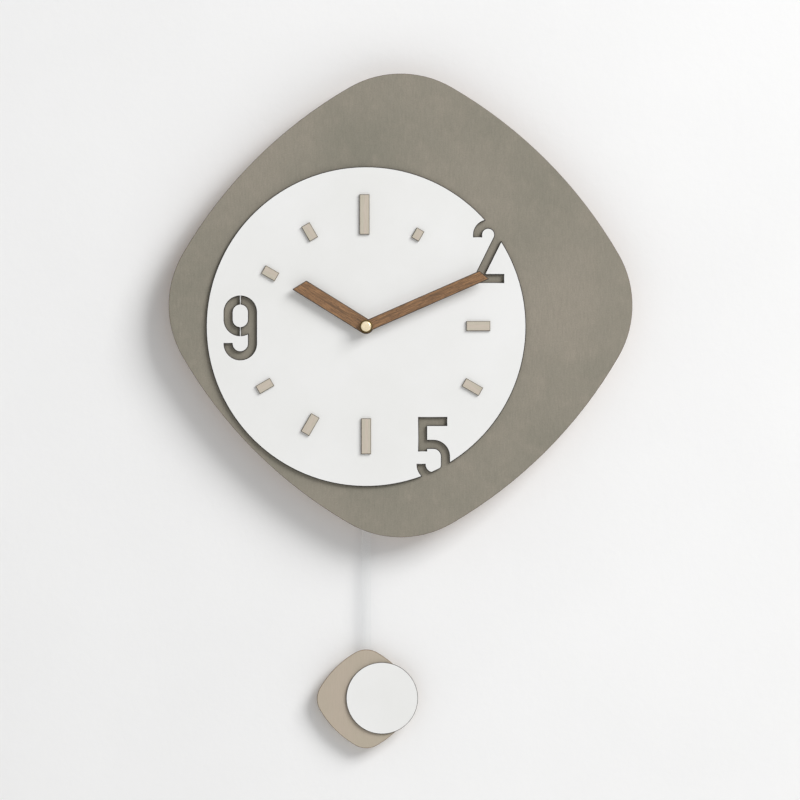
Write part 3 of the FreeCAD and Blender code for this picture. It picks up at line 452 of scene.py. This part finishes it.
def mouldedPlastic(name, tone, rough=0.48, sparkle=0.00003):
    # spark-eroded moulding: an even fine grain, with dust in patches
    material, tree, shader, place = newMaterial(name, roughness=rough)
    tones = useGroup(tree, mottle, {"Vector": place, "Cloud": 30.0, "Spot": 500.0, "Fleck": 4200.0})
    grime = useGroup(tree, dust, {"Vector": place, "Amount": 0.06})["Mask"]
    lighter = tuple(min(1.0, 1.06 * value + 0.0015) for value in tone[:3]) + (1.0,)
    colour = mix(tree, remap(tree, tones["Clouds"], 0.3, 0.7), tone, lighter)
    colour = mix(tree, grime, colour, linear(150, 146, 138))
    tree.links.new(colour, shader.inputs["Base Color"])
    tree.links.new(remap(tree, grime, 0.0, 0.3, rough, rough + 0.25), shader.inputs["Roughness"])
    bump(tree, shader, tones["Flecks"], sparkle, 0.8)
    return material


def softRubber():
    material, tree, shader, place = newMaterial("softRubber", roughness=0.82)
    tones = useGroup(tree, mottle, {"Vector": place, "Cloud": 60.0, "Spot": 700.0, "Fleck": 2500.0})
    colour = mix(tree, remap(tree, tones["Spots"], 0.3, 0.7), linear(26, 26, 27), linear(40, 40, 41))
    tree.links.new(colour, shader.inputs["Base Color"])
    bump(tree, shader, tones["Flecks"], 0.00005, 0.6)
    return material


def woundCopper(name, along):
    # enamelled wire lying side by side; along is the coil's axis
    material, tree, shader, place = newMaterial(name, metallic=0.85, roughness=0.35)
    parts = put(tree, "ShaderNodeSeparateXYZ", {0: place})
    turns = calc(tree, "SINE", calc(tree, "MULTIPLY", parts.outputs[along], 42000.0))
    tint = noise(tree, place, 300.0, 3.0)
    colour = mix(tree, remap(tree, tint, 0.3, 0.7), linear(186, 104, 58), linear(144, 74, 40))
    # painted shade: the crevices between neighbouring turns are darkened
    paintedCreviceShade = remap(tree, turns, -1.0, -0.4, 0.55, 1.0)
    shade = put(tree, "ShaderNodeCombineColor", {0: paintedCreviceShade, 1: paintedCreviceShade, 2: paintedCreviceShade}).outputs[0]
    tree.links.new(mix(tree, 1.0, colour, shade, "MULTIPLY"), shader.inputs["Base Color"])
    bump(tree, shader, turns, 0.00004, 0.8)
    return material


def circuitBoard():
    material, tree, shader, place = newMaterial("circuitBoard", roughness=0.4)
    cells = put(tree, "ShaderNodeTexVoronoi", {"Vector": place, "Scale": 260.0}, distance="CHEBYCHEV")
    trace = remap(tree, cells.outputs["Distance"], 0.34, 0.4)
    noisy = noise(tree, place, 900.0, 2.0)
    green = mix(tree, remap(tree, noisy, 0.3, 0.7), linear(24, 78, 44), linear(30, 92, 52))
    tree.links.new(mix(tree, trace, green, linear(62, 122, 70)), shader.inputs["Base Color"])
    bump(tree, shader, trace, 0.00003, 0.6)
    return material


def ferrite(name):
    material, tree, shader, place = newMaterial(name, roughness=0.6, metallic=0.3)
    tones = useGroup(tree, mottle, {"Vector": place, "Cloud": 120.0, "Spot": 900.0, "Fleck": 3200.0})
    colour = mix(tree, remap(tree, tones["Spots"], 0.3, 0.7), linear(46, 46, 49), linear(64, 64, 67))
    tree.links.new(colour, shader.inputs["Base Color"])
    bump(tree, shader, tones["Flecks"], 0.00004, 0.6)
    return material


def clearAcrylic():
    # clear cast strip: faint polishing haze
    material, tree, shader, place = newMaterial(
        "clearAcrylic", roughness=0.03, transmissionWeight=1.0
    )
    shader.inputs["IOR"].default_value = 1.49
    haze = noise(tree, stretched(tree, place, 0.0, (1.0, 1.0, 0.05)), 900.0, 3.0)
    colour = mix(tree, remap(tree, haze, 0.3, 0.7), (0.985, 0.99, 0.988, 1.0), (0.965, 0.972, 0.97, 1.0))
    tree.links.new(colour, shader.inputs["Base Color"])
    tree.links.new(remap(tree, haze, 0.4, 0.8, 0.01, 0.05), shader.inputs["Roughness"])
    # lamp light passes through, so the rod's own shadow stays faint
    through = put(tree, "ShaderNodeBsdfTransparent", {"Color": (0.86, 0.865, 0.87, 1.0)}).outputs[0]
    path = put(tree, "ShaderNodeLightPath").outputs
    lampRay = calc(tree, "MAXIMUM", path["Is Shadow Ray"], path["Is Diffuse Ray"])
    both = put(tree, "ShaderNodeMixShader", {0: lampRay, 1: shader.outputs[0], 2: through}).outputs[0]
    sink = next(node for node in tree.nodes if node.bl_idname == "ShaderNodeOutputMaterial")
    tree.links.new(both, sink.inputs["Surface"])
    return material


# ---- pieces made from the frame's own boards ----


boardEdges = {"panel": 0.0003, "dial": 0.00065, "hands": 0.0006, "bob": 0.0004, "sharp": math.radians(35)}


def crispBoard(node, name, body, slot, material, rim):
    # a copy of a flat CAD board with a narrow burnt bevel round its faces
    source = nodes[node]
    work = bmesh.new()
    work.from_mesh(source.data)
    bmesh.ops.remove_doubles(work, verts=work.verts, dist=2e-6)
    bmesh.ops.dissolve_limit(
        work, angle_limit=math.radians(0.6), verts=work.verts, edges=work.edges
    )
    sharp = [
        edge
        for edge in work.edges
        if len(edge.link_faces) == 2 and edge.calc_face_angle(0.0) > boardEdges["sharp"]
    ]
    bmesh.ops.bevel(
        work, geom=sharp, offset=rim, segments=1, affect="EDGES", clamp_overlap=False, profile=0.5
    )
    bmesh.ops.triangulate(work, faces=[face for face in work.faces if len(face.verts) > 4])
    return finished(work, name, body, slot, material, node)


def finished(work, name, body, slot, material, *replaced):
    # turns a bmesh into a piece of the clock that rides on a body
    for edge in work.edges:
        flat = len(edge.link_faces) != 2 or edge.calc_face_angle(0.0) > boardEdges["sharp"]
        edge.smooth = not flat
    for face in work.faces:
        face.smooth = True
    mesh = bpy.data.meshes.new(name)
    work.to_mesh(mesh)
    work.free()
    mesh.materials.append(material)
    piece = bpy.data.objects.new(name, mesh)
    bpy.context.collection.objects.link(piece)
    if replaced:
        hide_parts(*replaced)
    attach(piece, body)
    return piece


def fromGrid(points, name, body, slot, material, *replaced, closed=(True, True)):
    # points: an array of rows by columns by 3; a closed side joins its last line to its first
    rows, columns = points.shape[:2]
    index = np.arange(rows * columns).reshape(rows, columns)
    down = np.roll(index, -1, axis=0)
    right = np.roll(index, -1, axis=1)
    both = np.roll(down, -1, axis=1)
    quads = np.stack([index, right, both, down], axis=-1)
    quads = quads[: rows if closed[0] else rows - 1, : columns if closed[1] else columns - 1]
    mesh = bpy.data.meshes.new(name)
    mesh.from_pydata(points.reshape(-1, 3).tolist(), [], quads.reshape(-1, 4).tolist())
    work = bmesh.new()
    work.from_mesh(mesh)
    bpy.data.meshes.remove(mesh)
    bmesh.ops.remove_doubles(work, verts=work.verts, dist=1e-7)
    bmesh.ops.holes_fill(work, edges=work.edges, sides=0)
    bmesh.ops.recalc_face_normals(work, faces=work.faces)
    return finished(work, name, body, slot, material, *replaced)


def lathe(profile, centre, axis, turns=96):
    # a profile of (radius, distance along the axis) carried round a full circle
    profile = np.asarray(profile, dtype=float)
    angle = np.linspace(0.0, 2.0 * math.pi, turns, endpoint=False)
    radius, along = profile[:, 0][:, None], profile[:, 1][:, None]
    first, second = radius * np.cos(angle), radius * np.sin(angle)
    length = np.repeat(along, turns, axis=1)
    order = {"y": (first, length, second), "x": (length, first, second)}[axis]
    return np.stack(order, axis=-1) + np.asarray(centre)


def softCorner(start, corner, end, radius, steps=4):
    # points round a corner of a profile: a curve that leaves and meets its two sides smoothly
    start, corner, end = (np.asarray(point, dtype=float) for point in (start, corner, end))

    def towards(point):
        way = point - corner
        return corner + way * min(0.5, radius / max(np.linalg.norm(way), 1e-9))

    first, last = towards(start), towards(end)
    share = np.linspace(0.0, 1.0, steps)[:, None]
    return (1 - share) ** 2 * first + 2 * share * (1 - share) * corner + share**2 * last


def softProfile(points, radius):
    # a closed-ended profile with each inner corner rounded
    curve = [np.asarray(points[0], dtype=float)[None]]
    for before, corner, after in zip(points, points[1:], points[2:]):
        curve.append(softCorner(before, corner, after, radius))
    curve.append(np.asarray(points[-1], dtype=float)[None])
    return np.concatenate(curve)


nutLook = {"groove": 0.00028, "corner": 0.00022, "bore": 0.00146, "flange": 0.0009}


def handNut(material):
    # turned cap over the hands: a flange, a groove and a domed top with a broad flat
    low, high = (np.array(corner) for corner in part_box("hand_nut"))
    flange = (high[0] - low[0]) / 2
    top = 0.75 * flange
    back, front = high[1], low[1]
    step = back - nutLook["flange"]
    bore = nutLook["bore"]
    dip = nutLook["groove"]
    points = [
        (bore, back),
        (flange, back),
        (flange, step + 0.1e-3),
        (top + 0.62e-3, step),
        (top + 0.62e-3, step - 0.5e-3),
        (top + 0.18e-3, step - 0.5e-3),
        (top + 0.18e-3, step - 0.5e-3 + dip),
        (top - 0.05e-3, step - 0.5e-3 + dip),
        (top, front + 0.5e-3),
        (top - 0.5e-3, front),
        (0.3e-3, front),
        (0.0, front),
    ]
    grid = lathe(softProfile(points, nutLook["corner"]), (0.0, 0.0, 0.0), "y")
    inner = lathe([(bore, back), (bore, front + 0.9e-3), (0.0, front + 0.9e-3)], (0, 0, 0), "y")
    whole = np.concatenate([inner[::-1], grid])
    return fromGrid(whole, "handNut", "minute", "brass", material, "hand_nut", closed=(False, True))


cellLook = {
    "jacket": linear(44, 84, 128),
    "band": linear(198, 142, 82),
    "steel": linear(190, 192, 194),
    "corner": 0.0006,
}


def cellJacket():
    # printed foil jacket: a dark body, a copper band at the plus end and bare steel at both ends
    look = cellLook
    material, tree, shader, place = newMaterial("cellJacket", roughness=0.3)
    low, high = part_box("battery")
    along = put(tree, "ShaderNodeSeparateXYZ", {0: place}).outputs["X"]
    band = remap(tree, along, high[0] - 0.0135, high[0] - 0.0134)
    steelRight = remap(tree, along, high[0] - 0.0021, high[0] - 0.002)
    steelLeft = remap(tree, along, low[0] + 0.0007, low[0] + 0.0006)
    steel = calc(tree, "MAXIMUM", steelRight, steelLeft)
    scuff = noise(tree, stretched(tree, place, 0.0, (0.2, 1.0, 1.0)), 900.0, 3.0)
    colour = mix(tree, band, look["jacket"], look["band"])
    colour = mix(tree, remap(tree, scuff, 0.62, 0.8, 0.0, 0.35), colour, linear(120, 120, 120))
    colour = mix(tree, steel, colour, look["steel"])
    tree.links.new(colour, shader.inputs["Base Color"])
    tree.links.new(calc(tree, "MAXIMUM", steel, calc(tree, "MULTIPLY", band, 0.8)), shader.inputs["Metallic"])
    tree.links.new(remap(tree, scuff, 0.3, 0.8, 0.24, 0.46), shader.inputs["Roughness"])
    bump(tree, shader, scuff, 0.00002, 0.4)
    return material


def dryCell(material):
    # AA cell: crimped jacket, a stepped plus end with its nub and a dished minus end
    low, high = (np.array(corner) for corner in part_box("battery"))
    radius = (high[2] - low[2]) / 2
    left, right = low[0], high[0]
    nubStart = right - 1.0e-3
    points = [
        (0.0, left + 0.25e-3),
        (radius - 2.6e-3, left + 0.25e-3),
        (radius - 2.2e-3, left),
        (radius - 0.5e-3, left),
        (radius, left + 0.5e-3),
        (radius, nubStart - 0.9e-3),
        (radius - 0.5e-3, nubStart - 0.4e-3),
        (radius - 1.6e-3, nubStart - 0.4e-3),
        (radius - 1.8e-3, nubStart - 0.8e-3),
        (3.4e-3, nubStart - 0.8e-3),
        (2.7e-3, nubStart - 0.3e-3),
        (2.7e-3, right - 0.3e-3),
        (2.3e-3, right),
        (0.0, right),
    ]
    centre = (0.0, (low[1] + high[1]) / 2, (low[2] + high[2]) / 2)
    grid = lathe(softProfile(points, cellLook["corner"]), centre, "x")
    return fromGrid(grid, "dryCell", "clock", "cell", material, "battery", closed=(False, True))


springLook = {"wire": 0.00035, "turns": 3.6, "wide": 0.0043, "narrow": 0.0026, "steps": 150}


def contactSpring(material):
    # minus contact: a thin plate and a conical wire spring that presses on the cell
    look = springLook
    low, high = (np.array(corner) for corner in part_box("contact_minus"))
    plateFront = low[0] + 0.4e-3
    cellLow, cellHigh = (np.array(corner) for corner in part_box("battery"))
    centreY, centreZ = (cellLow[1] + cellHigh[1]) / 2, (cellLow[2] + cellHigh[2]) / 2
    share = np.linspace(0.0, 1.0, look["steps"])
    angle = 2.0 * math.pi * look["turns"] * share
    radius = look["wide"] + (look["narrow"] - look["wide"]) * share
    rise = plateFront + look["wire"] + (cellLow[0] - 2.2 * look["wire"] - plateFront) * share
    path = np.stack([rise, centreY + radius * np.cos(angle), centreZ + radius * np.sin(angle)], axis=-1)
    wire = tube(path, look["wire"], 10)
    spring = fromGrid(wire, "contactSpring", "clock", "steel", material, closed=(False, True))
    plate = softPlate((low[0], plateFront), (low[1], high[1]), (low[2], high[2]))
    fromGrid(plate, "contactPlate", "clock", "steel", material, "contact_minus", closed=(False, True))
    return spring


def softPlate(thick, wide, tall, corner=0.8e-3, rim=0.12e-3):
    # a rounded rectangle (corner arcs joined round) carried through the plate's thickness,
    # drawn in by the rim at both faces
    angle = np.linspace(0.0, 2.0 * math.pi, 48, endpoint=False)
    halfWide, halfTall = (wide[1] - wide[0]) / 2, (tall[1] - tall[0]) / 2
    steps = ((thick[0], 1.0), (thick[0] + rim, 0.0), (thick[1] - rim, 0.0), (thick[1], 1.0))
    rows = []
    for depth, draw in steps:
        shortWide, shortTall = halfWide - draw * rim - corner, halfTall - draw * rim - corner
        across = np.sign(np.cos(angle)) * shortWide + corner * np.cos(angle)
        up = np.sign(np.sin(angle)) * shortTall + corner * np.sin(angle)
        middleWide, middleTall = sum(wide) / 2, sum(tall) / 2
        ring = [np.full_like(angle, depth), across + middleWide, up + middleTall]
        rows.append(np.stack(ring, axis=-1))
    return np.stack(rows)


def tube(path, radius, sides):
    # a circle of the given radius carried along a path, square to it
    along = np.gradient(path, axis=0)
    along /= np.linalg.norm(along, axis=1, keepdims=True)
    across = np.cross(along, np.array([1.0, 0.0, 0.0]))
    across /= np.linalg.norm(across, axis=1, keepdims=True)
    up = np.cross(along, across)
    angle = np.linspace(0.0, 2.0 * math.pi, sides, endpoint=False)[None, :, None]
    ring = across[:, None, :] * np.cos(angle) + up[:, None, :] * np.sin(angle)
    return path[:, None, :] + radius * ring


# ---- dress the clock ----


def dress(node, material):
    # a CAD piece keeps its shape and takes a new material
    piece = nodes[node]
    if not piece.material_slots:
        piece.data.materials.append(material)
    for slotUsed in piece.material_slots:
        slotUsed.material = material


handAngles = {"hour_hand": 148.1, "minute_hand": 23.6}
white = whiteBoard("whiteBoard")
crispBoard("back_panel", "backBoard", "clock", "panel", panelFinish(), boardEdges["panel"])
crispBoard("dial", "dialBoard", "clock", "dial", white, boardEdges["dial"])
crispBoard("bob_plate", "bobBoard", "pendulum", "bob_board", bobFinish(), boardEdges["bob"])
crispBoard("bob_disc", "bobFace", "pendulum", "dial", white, boardEdges["bob"])
for node, body in (("hour_hand", "hour"), ("minute_hand", "minute")):
    wood = walnut(node.replace("_h", "H") + "Wood", handAngles[node])
    crispBoard(node, node.replace("_h", "H"), body, "hand_wood", wood, boardEdges["hands"])
for hour in (1, 3, 4, 6, 7, 8, 10, 11, 12):
    dress(f"marker_{hour}", stickWood(f"stickWood{hour}", 90.0 - 30.0 * hour))
print("boards, hands and sticks dressed")

brass = turnedBrass("turnedBrass", 0.05)
# the nut's brass, with a painted dark reflection ring beyond a radius of 4.3 mm
nutBrass = turnedBrass("nutBrass", 0.0043)
steel = zincSteel("zincSteel")
black = mouldedPlastic("blackMoulding", linear(27, 27, 29))
natural = mouldedPlastic("naturalMoulding", linear(226, 222, 208), 0.42, 0.00001)
ivory = mouldedPlastic("ivoryMoulding", linear(214, 212, 204), 0.45, 0.00002)
magnetic = ferrite("ferrite")
handNut(nutBrass)
dryCell(cellJacket())
contactSpring(steel)
dressing = {
    "case_front": black,
    "case_back": black,
    "swing_lever": black,
    "rubber_gasket": softRubber(),
    "bushing": brass,
    "dial_washer": brass,
    "dial_nut": brass,
    "minute_arbor": brass,
    "case_screws": steel,
    "stator_plate": steel,
    "coil_core": steel,
    "quartz_crystal": steel,
    "contact_plus": steel,
    "pivot_pin": steel,
    "hanger_plate": steel,
    "hanger_screws": steel,
    "centre_wheel": natural,
    "third_wheel": natural,
    "seconds_wheel": natural,
    "motion_wheel": natural,
    "hour_wheel": natural,
    "rotor_pinion": natural,
    "setting_knob": ivory,
    "motor_bobbin": ivory,
    "drive_bobbin": ivory,
    "rotor_magnet": magnetic,
    "drive_magnet": magnetic,
    "motor_winding": woundCopper("motorWire", "X"),
    "drive_winding": woundCopper("driveWire", "Y"),
    "clock_board": circuitBoard(),
    "drive_board": circuitBoard(),
    "pendulum_rod": clearAcrylic(),
}
for node, material in dressing.items():
    dress(node, material)
print("movement and pendulum dressed")


# ---- wall, light and camera ----


roomLook = {
    "wall": linear(244, 244, 244),
    "wallShade": linear(241, 241, 241),
    "floor": linear(238, 238, 237),
    "ambient": 0.37,
    "backdrop": 0.9,
    "keyPower": 318.0,
    "keyFar": 6.0,
    "keyWide": 3.0,
    "backPower": 85.0,
}


def plainWall():
    # painted plaster: seen and shadowed from the front, open from behind
    material, tree, shader, place = newMaterial("plainWall", roughness=0.9)
    rolled = noise(tree, place, 130.0, 4.0)
    patch = noise(tree, place, 5.0, 3.0)
    colour = mix(tree, remap(tree, patch, 0.3, 0.7), roomLook["wall"], roomLook["wallShade"])
    tree.links.new(colour, shader.inputs["Base Color"])
    bump(tree, shader, rolled, 0.0006, 0.25)
    clear = put(tree, "ShaderNodeBsdfTransparent").outputs[0]
    behind = put(tree, "ShaderNodeNewGeometry").outputs["Backfacing"]
    both = put(tree, "ShaderNodeMixShader", {0: behind, 1: shader.outputs[0], 2: clear}).outputs[0]
    sink = next(node for node in tree.nodes if node.bl_idname == "ShaderNodeOutputMaterial")
    tree.links.new(both, sink.inputs["Surface"])
    return material


def plainFloor():
    material, tree, shader, place = newMaterial("plainFloor", roughness=0.85)
    speckle = noise(tree, place, 60.0, 4.0)
    dim = tuple(0.97 * value for value in roomLook["floor"][:3]) + (1.0,)
    tree.links.new(mix(tree, speckle, dim, roomLook["floor"]), shader.inputs["Base Color"])
    return material


def sheetOf(name, corners, material):
    mesh = bpy.data.meshes.new(name)
    mesh.from_pydata(corners, [], [(0, 1, 2, 3)])
    mesh.materials.append(material)
    sheet = bpy.data.objects.new(name, mesh)
    bpy.context.collection.objects.link(sheet)
    return sheet


def buildRoom():
    wallY, reach, floorZ = 0.0004, 3.0, -1.5
    corners = [(-reach, wallY, floorZ), (reach, wallY, floorZ), (reach, wallY, reach), (-reach, wallY, reach)]
    wall = sheetOf("wall", corners, plainWall())
    # lamps and sky behind the wall still reach the clock's back
    wall.visible_shadow = False
    wall.visible_diffuse = False
    deep = 9.0
    corners = [(-deep, -deep, floorZ), (deep, -deep, floorZ), (deep, deep, floorZ), (-deep, deep, floorZ)]
    sheetOf("floor", corners, plainFloor())


def lamp(name, towards, far, wide, power):
    # a square soft box that faces the hands' axis from the direction towards
    data = bpy.data.lights.new(name, "AREA")
    data.shape = "SQUARE"
    data.size = wide
    data.energy = power
    source = bpy.data.objects.new(name, data)
    bpy.context.collection.objects.link(source)
    way = Vector(towards).normalized()
    aim = Vector((0.03, 0.0, -0.05))
    source.location = aim + way * far
    source.rotation_euler = way.to_track_quat("Z", "Y").to_euler()


def lightRoom():
    lamp("keyLamp", (1.1, -1.0, 0.95), roomLook["keyFar"], roomLook["keyWide"], roomLook["keyPower"])
    lamp("backLamp", (-0.7, 1.0, 0.8), roomLook["keyFar"], roomLook["keyWide"], roomLook["backPower"])
    world = bpy.data.worlds.new("room")
    stage.world = world
    world.use_nodes = True
    tree = world.node_tree
    tree.nodes.clear()
    path = put(tree, "ShaderNodeLightPath").outputs
    seen = calc(tree, "MAXIMUM", path["Is Camera Ray"], path["Is Glossy Ray"])
    seen = calc(tree, "MAXIMUM", seen, path["Is Transmission Ray"])
    light = remap(tree, seen, 0.0, 1.0, roomLook["ambient"], roomLook["backdrop"])
    glow = put(tree, "ShaderNodeBackground", {"Color": (1.0, 1.0, 1.0, 1.0), "Strength": light})
    put(tree, "ShaderNodeOutputWorld", {"Surface": glow.outputs[0]})


cameraLook = {"far": 6.0, "across": 0.0292, "up": -0.0633, "width": 0.6898}


def aimCamera():
    # a long lens square to the dial
    look = cameraLook
    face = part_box("dial")[0][1]
    data = bpy.data.cameras.new("camera")
    data.sensor_width = 36.0
    data.lens = 36.0 * look["far"] / look["width"]
    data.clip_end = 60.0
    camera = bpy.data.objects.new("camera", data)
    bpy.context.collection.objects.link(camera)
    camera.location = (look["across"], face - look["far"], look["up"])
    camera.rotation_euler = (math.pi / 2, 0.0, 0.0)
    stage.camera = camera


buildRoom()
lightRoom()
aimCamera()
print("room, light and camera set")
